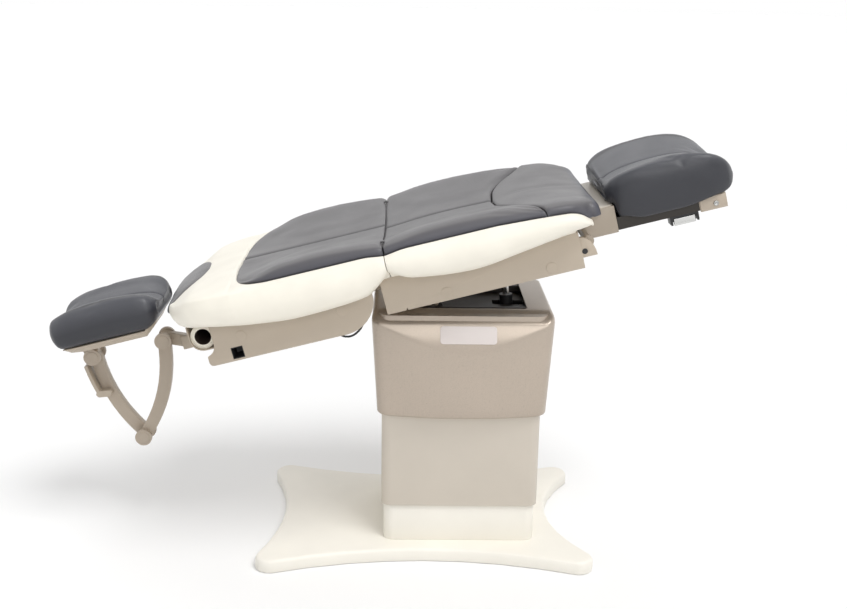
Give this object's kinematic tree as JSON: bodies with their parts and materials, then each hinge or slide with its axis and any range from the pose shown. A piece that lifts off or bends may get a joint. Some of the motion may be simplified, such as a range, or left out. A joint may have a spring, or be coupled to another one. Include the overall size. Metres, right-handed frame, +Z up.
{
  "type": "power procedure table",
  "caption": "Power procedure table with a telescoping column, tilting seat, hinged back and foot sections, a jointed headrest and grey and white vinyl cushions.",
  "frame": {"origin": "on the floor, under the axis of the lifting column", "axes": "+X towards the foot end along the table, +Y to the far side as pictured, +Z up"},
  "size_m": [2.0022, 0.784, 1.2502],
  "materials": {
    "off_white": "satin moulded plastic, warm off-white",
    "beige": "satin moulded plastic, light taupe",
    "taupe_metal": "moulded plastic with a satin metallic taupe coat",
    "frame_beige": "powder-coated steel, beige",
    "white_vinyl": "smooth upholstery vinyl, cream white",
    "grey_vinyl": "fine-grained upholstery vinyl, slate grey",
    "steel": "plain machined steel",
    "chrome": "bright plated steel",
    "black": "black moulded plastic",
    "cable": "black cable sheath",
    "paper": "rolled white paper"
  },
  "bodies": {
    "base": {"base_plate": "steel", "base_cover": "off_white", "control_box": "black", "lower_shroud": "off_white", "power_inlet": "black", "outer_column": "steel", "lift_actuator_body": "black"},
    "column_stage": {"middle_column": "steel", "lift_actuator_stage": "steel"},
    "shroud_stage": {"middle_shroud": "beige"},
    "carriage": {"inner_column": "steel", "lift_actuator_rod": "chrome", "column_head": "steel", "upper_shroud": "taupe_metal", "label_plate": "taupe_metal", "tilt_pivot_pin": "chrome"},
    "tilt_cylinder": {"tilt_cylinder": "black"},
    "tilt_rod": {"tilt_rod": "chrome"},
    "seat": {"seat_frame": "frame_beige", "seat_bolster": "white_vinyl", "seat_pad": "grey_vinyl", "seat_front_pad": "grey_vinyl", "back_hinge_pin_near": "chrome", "back_hinge_pin_far": "chrome", "foot_bracket_near": "frame_beige", "foot_bracket_far": "frame_beige", "foot_hinge_pin": "steel"},
    "back_cylinder": {"back_cylinder": "black"},
    "back_rod": {"back_rod": "chrome"},
    "foot_cylinder": {"foot_cylinder": "black"},
    "foot_rod": {"foot_rod": "chrome"},
    "back": {"back_frame": "frame_beige", "back_bolster": "white_vinyl", "back_pad": "grey_vinyl", "neck_pad": "grey_vinyl", "accessory_socket_near": "black", "accessory_socket_far": "black", "cable_loop": "cable", "paper_tray": "frame_beige"},
    "paper_roll": {"paper_roll": "paper"},
    "headrest_slide": {"headrest_bar": "steel", "headrest_shoulder_pin": "frame_beige"},
    "headrest_upper": {"headrest_upper_link": "frame_beige", "headrest_elbow_pin": "frame_beige"},
    "headrest_lower": {"headrest_lower_link": "frame_beige", "headrest_head_pin": "frame_beige"},
    "headrest_release": {"headrest_release_lever": "frame_beige"},
    "headrest": {"headrest_shell": "frame_beige", "headrest_cushion": "grey_vinyl"},
    "foot": {"foot_box": "frame_beige"},
    "foot_extension": {"foot_tray": "frame_beige", "latch_housing": "black", "foot_cushion": "grey_vinyl"},
    "foot_latch": {"foot_latch": "chrome"}
  },
  "joints": [
    {"name": "lift", "type": "slide", "parent": "base", "child": "carriage", "axis": [0, 0, 1], "range_m": [-0.27, 0]},
    {"name": "column_stage_slide", "type": "slide", "parent": "base", "child": "column_stage", "axis": [0, 0, 1], "range_m": [-0.136, 0.001]},
    {"name": "shroud_stage_slide", "type": "slide", "parent": "base", "child": "shroud_stage", "axis": [0, 0, 1], "range_m": [-0.072, 0.001]},
    {"name": "tilt", "type": "hinge", "parent": "carriage", "child": "seat", "pos_m": [-0.09, 0, 0.775], "axis": [0, -1, 0], "range_deg": [-14.5, 7.5]},
    {"name": "tilt_cylinder_swing", "type": "hinge", "parent": "carriage", "child": "tilt_cylinder", "pos_m": [0.16, 0, 0.5], "axis": [0, -1, 0], "range_deg": [-5, 3]},
    {"name": "tilt_rod_slide", "type": "slide", "parent": "tilt_cylinder", "child": "tilt_rod", "axis": [-0.0783, 0, 0.9969], "range_m": [-0.06, 0.032]},
    {"name": "back", "type": "hinge", "parent": "seat", "child": "back", "pos_m": [-0.23402, 0, 0.98906], "axis": [0, 1, 0], "range_deg": [0, 75]},
    {"name": "back_cylinder_swing", "type": "hinge", "parent": "seat", "child": "back_cylinder", "pos_m": [0.25497, -0.065, 0.95542], "axis": [0, 1, 0], "range_deg": [-1, 8]},
    {"name": "back_rod_slide", "type": "slide", "parent": "back_cylinder", "child": "back_rod", "axis": [-0.9582, 0, -0.286], "range_m": [-0.001, 0.212]},
    {"name": "foot", "type": "hinge", "parent": "seat", "child": "foot", "pos_m": [0.32855, 0, 0.97445], "axis": [0, 1, 0], "range_deg": [0, 85]},
    {"name": "foot_cylinder_swing", "type": "hinge", "parent": "seat", "child": "foot_cylinder", "pos_m": [0.03839, 0.065, 0.89424], "axis": [0, 1, 0], "range_deg": [-16.5, 1]},
    {"name": "foot_rod_slide", "type": "slide", "parent": "foot_cylinder", "child": "foot_rod", "axis": [0.9982, 0, 0.0598], "range_m": [-0.047, 0.001]},
    {"name": "foot_extension", "type": "slide", "parent": "foot", "child": "foot_extension", "axis": [0.9681, 0, 0.2504], "range_m": [0, 0.065]},
    {"name": "foot_latch", "type": "hinge", "parent": "foot_extension", "child": "foot_latch", "pos_m": [0.58658, -0.1815, 1.03911], "axis": [0.9681, 0, 0.2504], "range_deg": [0, 25]},
    {"name": "paper_roll_turn", "type": "hinge", "parent": "back", "child": "paper_roll", "pos_m": [-0.74425, 0, 0.7094], "axis": [0, 1, 0], "continuous": true},
    {"name": "headrest_slide", "type": "slide", "parent": "back", "child": "headrest_slide", "axis": [-0.9681, 0, -0.2504], "range_m": [0, 0.1]},
    {"name": "headrest_shoulder", "type": "hinge", "parent": "headrest_slide", "child": "headrest_upper", "pos_m": [-0.91109, 0, 0.61564], "axis": [0, -1, 0], "range_deg": [0, 35]},
    {"name": "headrest_elbow", "type": "hinge", "parent": "headrest_upper", "child": "headrest_lower", "pos_m": [-0.98614, 0, 0.29875], "axis": [0, -1, 0], "range_deg": [0, 30]},
    {"name": "headrest_release", "type": "hinge", "parent": "headrest_lower", "child": "headrest_release", "pos_m": [-1.09073, 0, 0.44048], "axis": [0, 1, 0], "range_deg": [0, 3]},
    {"name": "headrest_nod", "type": "hinge", "parent": "headrest_lower", "child": "headrest", "pos_m": [-1.1304, 0, 0.56099], "axis": [0, -1, 0], "range_deg": [0, 40]}
  ],
  "couplings": [
    {"joint": "column_stage_slide", "follows": "lift", "ratio": 0.5},
    {"joint": "shroud_stage_slide", "follows": "lift", "ratio": 0.2625},
    {"joint": "tilt_cylinder_swing", "follows": "tilt", "ratio": 0.262},
    {"joint": "tilt_rod_slide", "follows": "tilt", "m_per_rad": 0.233},
    {"joint": "back_cylinder_swing", "follows": "back", "ratio": 0.0945},
    {"joint": "back_rod_slide", "follows": "back", "m_per_rad": 0.161},
    {"joint": "foot_cylinder_swing", "follows": "foot", "ratio": -0.1856},
    {"joint": "foot_rod_slide", "follows": "foot", "m_per_rad": -0.031}
  ]
}
